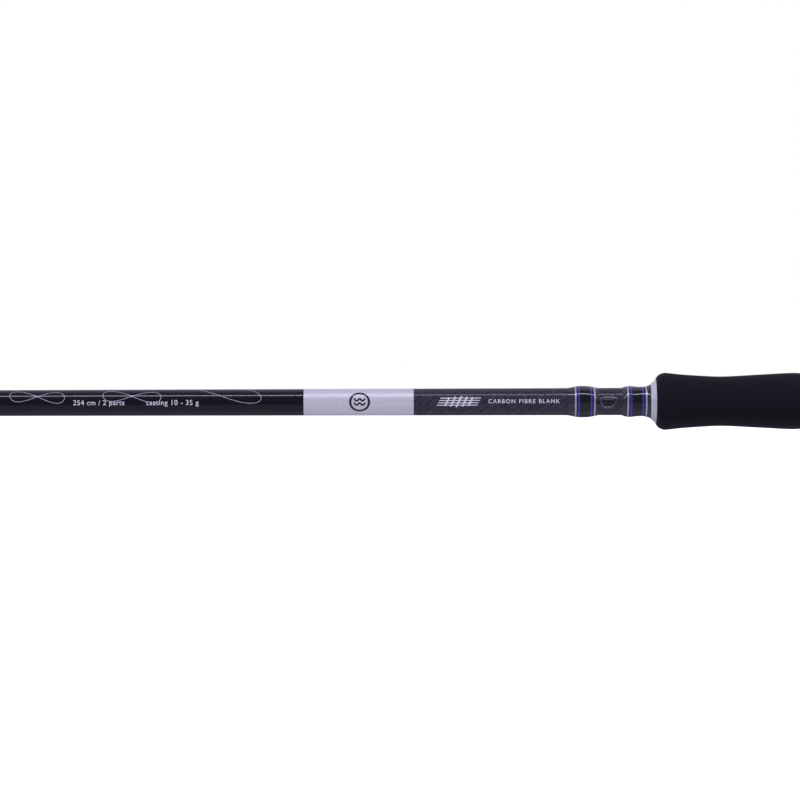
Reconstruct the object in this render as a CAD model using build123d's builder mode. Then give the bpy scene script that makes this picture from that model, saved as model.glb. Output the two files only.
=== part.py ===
from build123d import *
from math import cos, radians, sin
import os

# Two-piece spinning rod. The axis of the rod is the X axis: the butt end is at X = 0 and the tip points
# along -X. Stations are given as the distance "d" ahead of the butt end, so X = -d. Guides and the reel
# foot stand on the +Y side, labels and the hook keeper face -Y, +Z is up.

# overall, in millimetres
total_length = 2540.0
bond_gap = 0.02  # glue line between two pieces that are fixed together

# blanks
butt_radius = 6.853
blank_taper = 0.001106  # radius lost per millimetre of length
butt_blank_start = 3.0
butt_blank_end = 1300.0
butt_wall_rear = 1.3
butt_wall_front = 1.0
ferrule_start = 1235.0
ferrule_clearance = 0.03
ferrule_mouth_radius = 6.4
ferrule_shoulder_radius = 6.2
ferrule_shoulder = 1330.0
tip_blank_end = 2534.0
tip_radius = 0.9
tip_bore_end = 2480.0
tip_bore_radius = 0.4

# handle stations
cap_length = 13.0
cap_radius = 16.0
cap_ring_length = 2.5
butt_grip_end = 108.0
check_length = 2.45
rear_grip_start = 262.0
seat_start = 300.0
seat_end = 428.0
fore_grip_end = 500.0

# reel seat
barrel_radius = 11.0
barrel_bore = 7.6
thread_start = 304.0
thread_pitch = 2.0
thread_turns = 20
thread_root = 10.25
bed_start = 336.0
bed_height = 9.0
bed_relief = 0.2
fixed_hood_mouth = 404.0
pocket_depth = 17.0
hood_lift = 2.4  # the hood's crown is an arc centred this far above the rod's axis
hood_radius = 14.0
hood_ring_radius = 12.6
hood_wall = 1.6
liner_thickness = 0.5
running_gap = 0.08
moving_hood_rear = 328.1
moving_hood_mouth = 350.0
hood_travel = 12.0
nut_rear = 314.0
nut_front = 328.0
nut_radius = 13.4
nut_shoulder = 12.4
nut_shoulder_length = 3.5
nut_flutes = 20
keyway_width = 3.0
keyway_floor = 9.8

# hook keeper
keeper_station = 522.0
keeper_angle = 10.6  # degrees above the -Y direction
keeper_pivot_radius = 7.9
keeper_barrel_length = 4.2
keeper_barrel_radius = 0.95
bail_wire = 0.5
bail_play = 0.05

# guides: name, station, ring size, insert wall, height of the ring's centre above the blank, feet
guides = [
    ("guide_1", 980.0, 30.0, 3.0, 30.0, (-1, 1)),
    ("guide_2", 1380.0, 20.0, 2.3, 20.0, (-1, 1)),
    ("guide_3", 1670.0, 12.0, 1.6, 13.0, (-1, 1)),
    ("guide_4", 1880.0, 8.0, 1.1, 8.5, (1,)),
    ("guide_5", 2050.0, 6.0, 0.9, 6.6, (1,)),
    ("guide_6", 2195.0, 6.0, 0.9, 6.4, (1,)),
    ("guide_7", 2325.0, 6.0, 0.9, 6.2, (1,)),
    ("guide_8", 2440.0, 6.0, 0.9, 6.0, (1,)),
]
tip_top_size = 6.0
tip_top_wall = 0.9

side_view = Plane(origin=(0, 0, 0), x_dir=(-1, 0, 0), z_dir=(0, 1, 0))  # local x is d, local y is +Z
top_view = Plane(origin=(0, 0, 0), x_dir=(-1, 0, 0), z_dir=(0, 0, -1))  # local x is d, local y is +Y


def station(d):
    """Plane across the rod at d, looking towards the tip, with local x along +Y."""
    return Plane(origin=(-d, 0, 0), x_dir=(0, 1, 0), z_dir=(-1, 0, 0))


def butt_outer(d):
    """Outer radius of the butt blank at d."""
    return butt_radius - blank_taper * d


def tip_outer(d):
    """Outer radius of the tip blank at d, ahead of the ferrule's shoulder."""
    run = (d - ferrule_shoulder) / (tip_blank_end - ferrule_shoulder)
    return ferrule_shoulder_radius + (tip_radius - ferrule_shoulder_radius) * run


def blank_outer(d):
    """Outer radius of whichever blank is on the outside at d."""
    return tip_outer(d) if d > ferrule_shoulder else butt_outer(d)


def finish(part, name):
    """Label a finished piece and write it."""
    part.label = name
    export_step(part, f"parts/{name}.step")


os.makedirs("parts", exist_ok=True)

# ---- blanks ----

with BuildPart() as butt_blank:
    with BuildSketch(side_view):
        with BuildLine():
            Polyline(
                (butt_blank_start, butt_outer(butt_blank_start)),
                (butt_blank_end, butt_outer(butt_blank_end)),
                (butt_blank_end, butt_outer(butt_blank_end) - butt_wall_front),
                (butt_blank_start, butt_outer(butt_blank_start) - butt_wall_rear),
                close=True,
            )
        make_face()
    revolve(axis=Axis.X)
finish(butt_blank.part, "butt_blank")

# The tip blank slides over the butt blank: its mouth is a cone that follows the butt blank's taper.
spigot_end = butt_blank_end + 20
with BuildPart() as tip_blank:
    with BuildSketch(side_view):
        with BuildLine():
            Polyline(
                (ferrule_start, ferrule_mouth_radius),
                (ferrule_shoulder, ferrule_shoulder_radius),
                (tip_blank_end, tip_radius),
                (tip_blank_end, 0),
                (tip_bore_end, 0),
                (tip_bore_end, tip_bore_radius),
                (spigot_end, butt_outer(spigot_end) + ferrule_clearance),
                (ferrule_start, butt_outer(ferrule_start) + ferrule_clearance),
                close=True,
            )
        make_face()
    revolve(axis=Axis.X)
finish(tip_blank.part, "tip_blank")

# Trim ring and thread wrap that keep the ferrule's mouth from splitting.
ferrule_ring_length = 3.0
ferrule_ring_height = 0.6
ferrule_slope = (ferrule_mouth_radius - ferrule_shoulder_radius) / (ferrule_shoulder - ferrule_start)
with BuildPart() as ferrule_ring:
    with BuildSketch(side_view):
        with BuildLine():
            Polyline(
                (ferrule_start, ferrule_mouth_radius + bond_gap),
                (ferrule_start, ferrule_mouth_radius + ferrule_ring_height),
                (ferrule_start + ferrule_ring_length, ferrule_mouth_radius + ferrule_ring_height),
                (ferrule_start + ferrule_ring_length, ferrule_mouth_radius + bond_gap),
                close=True,
            )
        make_face()
    revolve(axis=Axis.X)
    fillet(ferrule_ring.edges().filter_by(GeomType.CIRCLE).group_by(SortBy.RADIUS)[-1], 0.25)
finish(ferrule_ring.part, "ferrule_ring")

ferrule_wrap_start = ferrule_start + ferrule_ring_length
ferrule_wrap_end = ferrule_wrap_start + 26
ferrule_wrap_height = 0.42
with BuildPart() as ferrule_wrap:
    with BuildSketch(side_view):
        with BuildLine():
            wrap_foot = ferrule_mouth_radius + bond_gap
            front_foot = wrap_foot - ferrule_slope * (ferrule_wrap_end - ferrule_wrap_start)
            Polyline(
                (ferrule_wrap_end, front_foot),
                (ferrule_wrap_start, wrap_foot),
                (ferrule_wrap_start, ferrule_mouth_radius + ferrule_wrap_height),
                (ferrule_wrap_end - 4, ferrule_mouth_radius + ferrule_wrap_height - 0.05),
            )
            ThreePointArc(
                (ferrule_wrap_end - 4, ferrule_mouth_radius + ferrule_wrap_height - 0.05),
                (ferrule_wrap_end - 1.6, front_foot + 0.3),
                (ferrule_wrap_end, front_foot),
            )
        make_face()
    revolve(axis=Axis.X)
finish(ferrule_wrap.part, "ferrule_wrap")

# ---- butt end ----

with BuildPart() as butt_cap:
    with BuildSketch(side_view):
        with BuildLine():
            Polyline(
                (0, 0),
                (0, cap_radius - 2),
                (2, cap_radius),
                (cap_length, cap_radius),
                (cap_length, butt_outer(cap_length) + bond_gap),
                (butt_blank_start, butt_outer(butt_blank_start) + bond_gap),
                (butt_blank_start, 0),
                close=True,
            )
        make_face()
    revolve(axis=Axis.X)
    rim = butt_cap.edges().filter_by(GeomType.CIRCLE).filter_by(lambda e: e.radius == cap_radius)
    fillet(rim.sort_by(Axis.X)[-1], 1.2)
finish(butt_cap.part, "butt_cap")

cap_ring_end = cap_length + cap_ring_length
with BuildPart() as butt_cap_ring:
    with BuildSketch(side_view):
        with BuildLine():
            Polyline(
                (cap_length, butt_outer(cap_length) + bond_gap),
                (cap_length, cap_radius - 0.5),
                (cap_ring_end, cap_radius - 0.5),
                (cap_ring_end, butt_outer(cap_length) + bond_gap),
                close=True,
            )
        make_face()
    revolve(axis=Axis.X)
    fillet(butt_cap_ring.edges().filter_by(GeomType.CIRCLE).group_by(SortBy.RADIUS)[-1], 0.4)
finish(butt_cap_ring.part, "butt_cap_ring")

with BuildPart() as butt_grip:
    with BuildSketch(side_view):
        with BuildLine():
            Line((butt_grip_end, butt_outer(butt_grip_end) + bond_gap),
                 (cap_ring_end, butt_outer(cap_ring_end) + bond_gap))
            Line((cap_ring_end, butt_outer(cap_ring_end) + bond_gap), (cap_ring_end, 14.6))
            Spline((cap_ring_end, 14.6), (24, 15.6), (50, 14.4), (82, 12.2), (103, 12.0))
            Spline((103, 12.0), (106.6, 11.2), (butt_grip_end, 9.8))
            Line((butt_grip_end, 9.8), (butt_grip_end, butt_outer(butt_grip_end) + bond_gap))
        make_face()
    revolve(axis=Axis.X)
finish(butt_grip.part, "butt_grip")


def winding_check(rear, front, rear_radius, front_radius):
    """Flared metal ring between a grip and the bare blank: a hollow curve on the outside."""
    with BuildPart() as check:
        with BuildSketch(side_view):
            with BuildLine():
                wide = (rear, rear_radius)
                narrow = (front, front_radius)
                hollow = (rear + (front - rear) * 0.35, front_radius + (rear_radius - front_radius) * 0.42)
                Line((front, blank_outer(front) + bond_gap), (rear, blank_outer(rear) + bond_gap))
                Line((rear, blank_outer(rear) + bond_gap), wide)
                ThreePointArc(wide, hollow, narrow)
                Line(narrow, (front, blank_outer(front) + bond_gap))
            make_face()
        revolve(axis=Axis.X)
    return check.part


butt_check_front = butt_grip_end + check_length
finish(winding_check(butt_grip_end, butt_check_front, 9.7, 7.9), "butt_grip_check")

# ---- rear grip ----

with BuildPart() as rear_grip:
    with BuildSketch(side_view):
        with BuildLine():
            Line((seat_start, butt_outer(seat_start) + bond_gap),
                 (rear_grip_start, butt_outer(rear_grip_start) + bond_gap))
            Line((rear_grip_start, butt_outer(rear_grip_start) + bond_gap), (rear_grip_start, 9.6))
            Spline((rear_grip_start, 9.6), (263.2, 10.8), (268, 11.6), (284, 11.9), (seat_start, 12.6))
            Line((seat_start, 12.6), (seat_start, butt_outer(seat_start) + bond_gap))
        make_face()
    revolve(axis=Axis.X)
finish(rear_grip.part, "rear_grip")

rear_check_end = rear_grip_start - check_length
finish(winding_check(rear_grip_start, rear_check_end, 9.5, 7.9), "rear_grip_check")

# ---- reel seat ----

thread_end = thread_start + thread_turns * thread_pitch
with BuildPart() as seat_body:
    with BuildSketch(side_view):
        with BuildLine():
            outline = [(seat_start, barrel_bore), (seat_start, 12.4), (thread_start - 1.5, 12.4)]
            for turn in range(thread_turns):
                crest = thread_start + turn * thread_pitch
                outline.append((crest, barrel_radius))
                outline.append((crest + 0.5, barrel_radius))
                outline.append((crest + 1.0, thread_root))
                outline.append((crest + 1.5, thread_root))
            outline += [(thread_end, barrel_radius), (seat_end, barrel_radius), (seat_end, barrel_bore)]
            Polyline(*outline, close=True)
        make_face()
    revolve(axis=Axis.X)
    # flat bed for the reel's foot, a little lower where the hoods' pockets reach over it
    pocket_end = fixed_hood_mouth + pocket_depth
    with BuildSketch(top_view):
        with BuildLine():
            low_bed = bed_height - bed_relief
            Polyline(
                (bed_start, low_bed), (moving_hood_mouth + 1, low_bed), (moving_hood_mouth + 1, bed_height),
                (fixed_hood_mouth - 1, bed_height), (fixed_hood_mouth - 1, low_bed), (pocket_end, low_bed),
                (pocket_end, 20), (bed_start, 20),
                close=True,
            )
        make_face()
    extrude(amount=20, both=True, mode=Mode.SUBTRACT)
    # keyway along the underside, for the moving hood's key
    with BuildSketch(top_view):
        keyway_end = moving_hood_mouth + hood_travel + 4
        with Locations(((thread_start + keyway_end) / 2, -keyway_floor - 2)):
            Rectangle(keyway_end - thread_start, 4)
    extrude(amount=keyway_width / 2, both=True, mode=Mode.SUBTRACT)
finish(seat_body.part, "seat_body")

# Three glued bushes that centre the seat on the blank.
arbor_length = 16.0
with BuildPart() as seat_arbors:
    for arbor_start in (306.0, 352.0, 404.0):
        with BuildSketch(side_view):
            with BuildLine():
                Polyline(
                    (arbor_start, butt_outer(arbor_start) + bond_gap),
                    (arbor_start, barrel_bore - bond_gap),
                    (arbor_start + arbor_length, barrel_bore - bond_gap),
                    (arbor_start + arbor_length, butt_outer(arbor_start + arbor_length) + bond_gap),
                    close=True,
                )
            make_face()
        revolve(axis=Axis.X)
finish(seat_arbors.part, "seat_arbors")


def hood(rear, front, bore, mouth):
    """Hood over the barrel with a pocket for one end of the reel's foot, open at d = mouth."""
    with BuildPart() as shell:
        with BuildSketch(station(rear)):
            Circle(hood_ring_radius)
            with Locations((hood_lift, 0)):
                Circle(hood_radius)
            make_hull()
        extrude(amount=front - rear)
        chamfer(shell.edges().group_by(Axis.X)[0] + shell.edges().group_by(Axis.X)[-1], 0.6)
        with BuildSketch(station(rear)):
            Circle(bore)
        extrude(amount=front - rear, mode=Mode.SUBTRACT)
        pocket_start = mouth if mouth == rear else mouth - pocket_depth
        with BuildSketch(station(pocket_start)):
            with Locations((hood_lift, 0)):
                Circle(hood_radius - hood_wall)
            with Locations((bed_height - 0.1 - 20, 0)):
                Rectangle(40, 40, mode=Mode.SUBTRACT)
        extrude(amount=pocket_depth, mode=Mode.SUBTRACT)
    return shell.part


def hood_liner(rear, length):
    """Thin curved plate under the crown of a hood's pocket."""
    outer = hood_radius - hood_wall - bond_gap
    with BuildPart() as liner:
        with BuildSketch(station(rear)):
            with Locations((hood_lift, 0)):
                Circle(outer)
                Circle(outer - liner_thickness, mode=Mode.SUBTRACT)
            with Locations((bed_height + 0.6 - 20, 0)):
                Rectangle(40, 40, mode=Mode.SUBTRACT)
        extrude(amount=length)
    return liner.part


finish(hood(fixed_hood_mouth, seat_end, barrel_radius + bond_gap, fixed_hood_mouth), "fixed_hood")
finish(hood_liner(fixed_hood_mouth + 0.6, pocket_depth - 0.7), "fixed_hood_liner")

# The moving hood carries a key that runs in the barrel's keyway, so it slides without turning.
with BuildPart() as moving_hood:
    add(hood(moving_hood_rear, moving_hood_mouth, barrel_radius + running_gap, moving_hood_mouth))
    with BuildSketch(station(moving_hood_rear + 1)):
        with Locations((-(keyway_floor + running_gap + barrel_radius + 0.6) / 2, 0)):
            Rectangle(barrel_radius + 0.6 - keyway_floor - running_gap, keyway_width - 2 * running_gap)
    extrude(amount=moving_hood_mouth - moving_hood_rear - 2)
finish(moving_hood.part, "moving_hood")
finish(hood_liner(moving_hood_mouth - pocket_depth + 0.1, pocket_depth - 0.7), "moving_hood_liner")

with BuildPart() as lock_nut:
    shoulder_end = nut_rear + nut_shoulder_length
    with BuildSketch(side_view):
        with BuildLine():
            Polyline(
                (nut_rear, barrel_radius + running_gap),
                (nut_rear, nut_shoulder),
                (shoulder_end, nut_shoulder),
                (shoulder_end, nut_radius - 0.5),
                (shoulder_end + 0.5, nut_radius),
                (nut_front - 0.6, nut_radius),
                (nut_front, nut_radius - 0.6),
                (nut_front, barrel_radius + running_gap),
                close=True,
            )
        make_face()
    revolve(axis=Axis.X)
    with BuildSketch(station(shoulder_end + 1)):
        with PolarLocations(nut_radius + 0.5, nut_flutes):
            Circle(1.2)
    extrude(amount=nut_front - shoulder_end - 2.2, mode=Mode.SUBTRACT)
finish(lock_nut.part, "lock_nut")

with BuildPart() as nut_ring:
    with BuildSketch(side_view):
        with BuildLine():
            Polyline(
                (nut_rear + 0.2, nut_shoulder + bond_gap),
                (nut_rear + 0.2, nut_radius - 0.1),
                (shoulder_end - bond_gap, nut_radius - 0.1),
                (shoulder_end - bond_gap, nut_shoulder + bond_gap),
                close=True,
            )
        make_face()
    revolve(axis=Axis.X)
    fillet(nut_ring.edges().filter_by(GeomType.CIRCLE).group_by(SortBy.RADIUS)[-1], 0.3)
finish(nut_ring.part, "nut_ring")

# ---- fore grip ----

grip_nose = (fore_grip_end, 11.1)
grip_crown = (495.9, 13.27)
grip_tail = (437.5, 13.0)
with BuildPart() as fore_grip:
    with BuildSketch(side_view):
        with BuildLine():
            Line((seat_end, butt_outer(seat_end) + bond_gap),
                 (fore_grip_end, butt_outer(fore_grip_end) + bond_gap))
            Line((fore_grip_end, butt_outer(fore_grip_end) + bond_gap), grip_nose)
            Spline(grip_nose, (499.3, 12.15), (498.15, 13.0), grip_crown, tangents=[(-0.2, 1), (-1, 0)])
            Spline(grip_crown, (488.9, 12.5), (479, 11.8), (468.6, 11.45), (452, 12.28), grip_tail,
                   tangents=[(-1, 0), (-1, 0)])
            Spline(grip_tail, (431, 12.55), (seat_end, 11.8), tangents=[(-1, 0), (-0.8, -0.6)])
            Line((seat_end, 11.8), (seat_end, butt_outer(seat_end) + bond_gap))
        make_face()
    revolve(axis=Axis.X)
finish(fore_grip.part, "fore_grip")

fore_check_front = fore_grip_end + check_length
finish(winding_check(fore_grip_end, fore_check_front, 10.0, 7.94), "fore_grip_check")

# ---- hook keeper ----

pivot_y = -keeper_pivot_radius * cos(radians(keeper_angle))
pivot_z = keeper_pivot_radius * sin(radians(keeper_angle))
outward = (0, -cos(radians(keeper_angle)), sin(radians(keeper_angle)))
foot_radius = butt_outer(508) + bond_gap
foot_centre = 523.0
foot_length = 28.0
foot_width = 1.8
foot_thickness = 0.42


def keeper_plane(d, radius):
    """Plane tangent to the rod at the keeper's angle, with local x along d."""
    return Plane(origin=(-d, outward[1] * radius, outward[2] * radius), x_dir=(-1, 0, 0), z_dir=outward)


with BuildPart() as keeper_frame:
    with BuildSketch(keeper_plane(foot_centre, foot_radius)):
        SlotOverall(foot_length, foot_width)
    extrude(amount=foot_thickness)
    with BuildSketch(keeper_plane(keeper_station, foot_radius)):
        Rectangle(keeper_barrel_length, 1.3)
    extrude(amount=keeper_pivot_radius - foot_radius)
    with BuildSketch(Plane(origin=(-keeper_station + keeper_barrel_length / 2, pivot_y, pivot_z),
                           x_dir=(0, 1, 0), z_dir=(-1, 0, 0))):
        Circle(keeper_barrel_radius)
    extrude(amount=keeper_barrel_length)
    with BuildSketch(Plane(origin=(-keeper_station + keeper_barrel_length, pivot_y, pivot_z),
                           x_dir=(0, 1, 0), z_dir=(-1, 0, 0))):
        Circle(bail_wire + bail_play)
    extrude(amount=2 * keeper_barrel_length, mode=Mode.SUBTRACT)
finish(keeper_frame.part, "keeper_frame")

# A loop of wire: its straight side is the hinge pin, the round side hangs below it.
hang_plane = Plane(origin=(-keeper_station, pivot_y, pivot_z), x_dir=(-1, 0, 0), z_dir=(0, 1, 0))
bail_pin_end = 3.0
with BuildPart() as keeper_bail:
    with BuildLine(hang_plane) as loop:
        FilletPolyline((bail_pin_end, 0), (4.2, 0), (2.6, -4.1), (-1.6, -4.1), (-4.2, 0), (-bail_pin_end, 0),
                       radius=[0.75, 1.2, 1.4, 0.6])
    with BuildSketch(Plane(origin=loop.line @ 0, z_dir=loop.line % 0)):
        Circle(bail_wire)
    sweep()
    with BuildSketch(Plane(origin=(-keeper_station + bail_pin_end, pivot_y, pivot_z),
                           x_dir=(0, 1, 0), z_dir=(-1, 0, 0))):
        Circle(bail_wire)
    extrude(amount=2 * bail_pin_end)
finish(keeper_bail.part, "keeper_bail")


def keeper_wrap(outline):
    """Thread and varnish turned round the blank over one end of the keeper's foot."""
    rear = outline[0][0]
    front = outline[-1][0]
    with BuildPart() as wrap:
        with BuildSketch(side_view):
            with BuildLine():
                Line((front, butt_outer(front) + bond_gap), (rear, butt_outer(rear) + bond_gap))
                Line((rear, butt_outer(rear) + bond_gap), outline[0])
                Spline(*outline)
                Line(outline[-1], (front, butt_outer(front) + bond_gap))
            make_face()
        revolve(axis=Axis.X)
        add(keeper_frame.part, mode=Mode.SUBTRACT)
    return wrap.part


rear_wrap_outline = [(fore_check_front, 8.2), (503.4, 7.55), (504.6, 7.2), (506.6, 6.85), (509.5, 7.02),
                     (511.6, 7.2), (513.3, 7.1), (515.6, 6.4)]
front_wrap_outline = [(526.9, 6.4), (529.2, 6.85), (531.6, 7.2), (535.4, 7.24), (538.2, 6.8), (540.6, 6.35)]
finish(keeper_wrap(rear_wrap_outline), "keeper_wrap_rear")
finish(keeper_wrap(front_wrap_outline), "keeper_wrap_front")

# ---- guides ----


def guide_band(size):
    """Width of the metal band that holds a ring of this size."""
    return 0.5 + size / 60


def guide_wire(size):
    """Radius of the frame's legs for a ring of this size."""
    return 0.35 + size / 45


def guide_ring(d, centre, size, wall):
    """Round-edged ceramic insert."""
    width = 1.4 + size / 16
    with BuildPart() as ring:
        with BuildSketch(top_view):
            with Locations((d, centre + size / 2 - wall / 2)):
                RectangleRounded(width, wall, wall * 0.42)
        revolve(axis=Axis(origin=(0, centre, 0), direction=(1, 0, 0)))
    return ring.part


def guide_frame(d, centre, size, feet):
    """Band round the insert, a pair of wire legs and a flat foot for each end that is wrapped."""
    band = guide_band(size)
    wire = guide_wire(size)
    seat = blank_outer(d - 30) + bond_gap
    reach = 3.0 + size * 0.55
    foot = 8.0 + size * 0.3
    with BuildPart() as frame:
        with BuildSketch(station(d - band)):
            with Locations((centre, 0)):
                Circle(size / 2 + band)
        extrude(amount=2 * band)
        for way in feet:
            for side in (-1, 1):
                top = (-d, centre - size * 0.1, side * (size / 2 + band * 0.5))
                root = (-d - way * reach, seat + wire * 0.9, side * wire * 0.8)
                with BuildLine() as leg:
                    Line(top, root)
                with BuildSketch(Plane(origin=top, z_dir=leg.line % 0)):
                    Circle(wire)
                sweep()
            with BuildSketch(top_view):
                with BuildLine():
                    near = d + way * (reach - wire)
                    far = d + way * (reach + foot)
                    heel = d + way * (reach + wire)
                    Polyline((near, seat), (near, seat + 2 * wire), (heel, seat + 2 * wire),
                             (far, seat + 0.3), (far, seat), close=True)
                make_face()
            extrude(amount=1.8 * wire, both=True)
        # clear the insert's seat and everything below the blank's surface
        with BuildSketch(station(d - reach - foot)):
            with Locations((centre, 0)):
                Circle(size / 2 + bond_gap)
            with Locations((seat - 10, 0)):
                Rectangle(20, 20)
        extrude(amount=2 * (reach + foot), mode=Mode.SUBTRACT)
    return frame.part


def guide_wrap(d, size, feet, frame):
    """Thread and varnish over each foot of a guide."""
    wire = guide_wire(size)
    seat = blank_outer(d - 30) + bond_gap
    reach = 3.0 + size * 0.55
    length = 8.0 + size * 0.3 + 2.0
    with BuildPart() as wrap:
        for way in feet:
            near = d + way * (reach + 1.2 * wire)
            far = near + way * length
            with BuildSketch(Plane(origin=(-near, 0, 0), x_dir=(0, 1, 0), z_dir=(-1, 0, 0))):
                Circle(blank_outer(near) + 0.35)
                with Locations((seat + wire, 0)):
                    Rectangle(2 * wire + 0.5, 3.6 * wire)
                make_hull()
            with BuildSketch(Plane(origin=(-far, 0, 0), x_dir=(0, 1, 0), z_dir=(-1, 0, 0))):
                Circle(blank_outer(far) + 0.12)
                with Locations((seat - 0.2, 0)):
                    Rectangle(0.6, 3.2 * wire)
                make_hull()
            loft()
        with BuildSketch(side_view):
            with BuildLine():
                low = d - reach - length - 5
                high = d + reach + length + 5
                Polyline((low, 0), (low, blank_outer(low) + bond_gap), (high, blank_outer(high) + bond_gap),
                         (high, 0), close=True)
            make_face()
        revolve(axis=Axis.X, mode=Mode.SUBTRACT)
        add(frame, mode=Mode.SUBTRACT)
    return wrap.part


for name, d, size, wall, rise, feet in guides:
    centre = blank_outer(d) + rise
    frame = guide_frame(d, centre, size, feet)
    finish(frame, f"{name}_frame")
    finish(guide_ring(d, centre, size, wall), f"{name}_ring")
    finish(guide_wrap(d, size, feet, frame), f"{name}_wrap")

# ---- tip-top ----

tube_start = 2524.0
tube_end = 2537.0
tube_wall = 0.4
tip_band = guide_band(tip_top_size)
tip_ring_station = total_length - (1.4 + tip_top_size / 16) / 2  # its insert's front face ends the rod
tip_ring_centre = tip_radius + tube_wall + tip_top_size / 2 + tip_band - 0.1
with BuildPart() as tip_top_frame:
    with BuildSketch(station(tube_start)):
        Circle(tip_outer(tube_start) + bond_gap + tube_wall)
    extrude(amount=tube_end - tube_start)
    with BuildSketch(station(tip_ring_station - tip_band)):
        with Locations((tip_ring_centre, 0)):
            Circle(tip_top_size / 2 + tip_band)
    extrude(amount=2 * tip_band)
    for side in (-1, 1):
        top = (-tip_ring_station, tip_ring_centre, side * (tip_top_size / 2 + tip_band / 2))
        root = (-tube_start - 3, tip_outer(tube_start) + tube_wall, side * 0.5)
        with BuildLine() as leg:
            Line(top, root)
        with BuildSketch(Plane(origin=top, z_dir=leg.line % 0)):
            Circle(0.45)
        sweep()
    with BuildSketch(station(tip_ring_station - 4)):
        with Locations((tip_ring_centre, 0)):
            Circle(tip_top_size / 2 + bond_gap)
    extrude(amount=8, mode=Mode.SUBTRACT)
    with BuildSketch(side_view):
        with BuildLine():
            Polyline((tube_start - 1, 0), (tube_start - 1, tip_outer(tube_start - 1) + bond_gap),
                     (tip_blank_end, tip_radius + bond_gap), (tip_blank_end, 0), close=True)
        make_face()
    revolve(axis=Axis.X, mode=Mode.SUBTRACT)
finish(tip_top_frame.part, "tip_top_frame")
finish(guide_ring(tip_ring_station, tip_ring_centre, tip_top_size, tip_top_wall), "tip_top_ring")

tip_wrap_start = tube_start - 6
with BuildPart() as tip_top_wrap:
    with BuildSketch(side_view):
        with BuildLine():
            start_foot = tip_outer(tip_wrap_start) + bond_gap
            end_foot = tip_outer(tube_start) + bond_gap
            Polyline((tube_start, end_foot), (tip_wrap_start, start_foot), (tip_wrap_start, start_foot + 0.1),
                     (tip_wrap_start + 2, start_foot + 0.35), (tube_start, end_foot + tube_wall), close=True)
        make_face()
    revolve(axis=Axis.X)
finish(tip_top_wrap.part, "tip_top_wrap")
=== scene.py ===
import math

import bmesh
import bpy
import numpy as np
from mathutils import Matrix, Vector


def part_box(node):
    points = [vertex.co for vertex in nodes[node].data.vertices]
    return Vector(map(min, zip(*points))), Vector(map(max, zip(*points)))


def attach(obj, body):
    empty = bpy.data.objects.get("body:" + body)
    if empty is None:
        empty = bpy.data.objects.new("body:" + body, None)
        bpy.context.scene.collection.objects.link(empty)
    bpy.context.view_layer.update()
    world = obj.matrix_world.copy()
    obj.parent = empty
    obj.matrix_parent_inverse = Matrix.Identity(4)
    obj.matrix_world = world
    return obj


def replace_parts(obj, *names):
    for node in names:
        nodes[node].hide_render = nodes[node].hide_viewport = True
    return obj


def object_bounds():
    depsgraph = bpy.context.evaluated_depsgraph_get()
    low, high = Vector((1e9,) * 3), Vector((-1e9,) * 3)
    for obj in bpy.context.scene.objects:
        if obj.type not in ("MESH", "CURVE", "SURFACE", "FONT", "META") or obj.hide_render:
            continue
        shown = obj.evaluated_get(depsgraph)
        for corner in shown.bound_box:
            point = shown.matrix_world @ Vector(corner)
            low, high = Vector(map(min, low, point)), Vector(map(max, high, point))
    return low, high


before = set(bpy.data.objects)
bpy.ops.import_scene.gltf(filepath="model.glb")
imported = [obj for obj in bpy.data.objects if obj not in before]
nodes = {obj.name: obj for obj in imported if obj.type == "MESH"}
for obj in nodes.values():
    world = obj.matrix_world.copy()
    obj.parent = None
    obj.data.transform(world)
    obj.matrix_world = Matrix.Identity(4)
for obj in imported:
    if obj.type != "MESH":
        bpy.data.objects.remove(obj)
cadBox = [list(map(float, corner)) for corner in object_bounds()]
print("frame loaded:", len(nodes), "nodes")

# Lengths are in millimetres. d is the distance ahead of the butt end, so X = -d, and angles go round the
# rod from the label side (-Y) up towards +Z. gridMesh turns everything into metres.
mm = 0.001
around = 128  # facets round the rod

# the two blanks: radius at the butt end and its loss per millimetre, the mouth that slides over the spigot,
# the shoulder where it has narrowed again, the tip, and the ends of the silver band
blank = {"buttRadius": 6.853, "taper": 0.001106, "buttStart": 3.0, "buttEnd": 1300.0, "wall": 1.1,
         "mouth": 1235.0, "mouthRadius": 6.4, "shoulder": 1330.0, "shoulderRadius": 6.2,
         "tipEnd": 2534.0, "tipRadius": 0.9, "silverRear": 611.7, "silverFront": 662.4}


def blankRadius(d):
    # straight taper of the butt blank, then the straight taper of the tip blank ahead of the ferrule
    d = np.asarray(d, float)
    run = (d - blank["shoulder"]) / (blank["tipEnd"] - blank["shoulder"])
    tip = blank["shoulderRadius"] + (blank["tipRadius"] - blank["shoulderRadius"]) * run
    return np.where(d > blank["shoulder"], tip, blank["buttRadius"] - blank["taper"] * d)


def mouthRadius(d):
    # outside of the tip blank between its mouth and its shoulder: a straight taper
    ends = [blank["mouth"], blank["shoulder"]]
    return np.interp(d, ends, [blank["mouthRadius"], blank["shoulderRadius"]])


def rounded(points, perSpan=12):
    # smooth line through the points: each span is the cubic whose end slopes are those of its neighbours
    p = np.asarray(points, float)
    padded = np.vstack([2 * p[0] - p[1], p, 2 * p[-1] - p[-2]])
    t = np.linspace(0, 1, perSpan, endpoint=False)[:, None]
    spans = []
    for i in range(len(p) - 1):
        a, b, c, e = padded[i], padded[i + 1], padded[i + 2], padded[i + 3]
        cubic = 3 * (b - c) + e - a
        spans.append(b + 0.5 * t * (c - a + t * (2 * a - 5 * b + 4 * c - e + t * cubic)))
    return np.vstack(spans + [p[-1:]])


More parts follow.
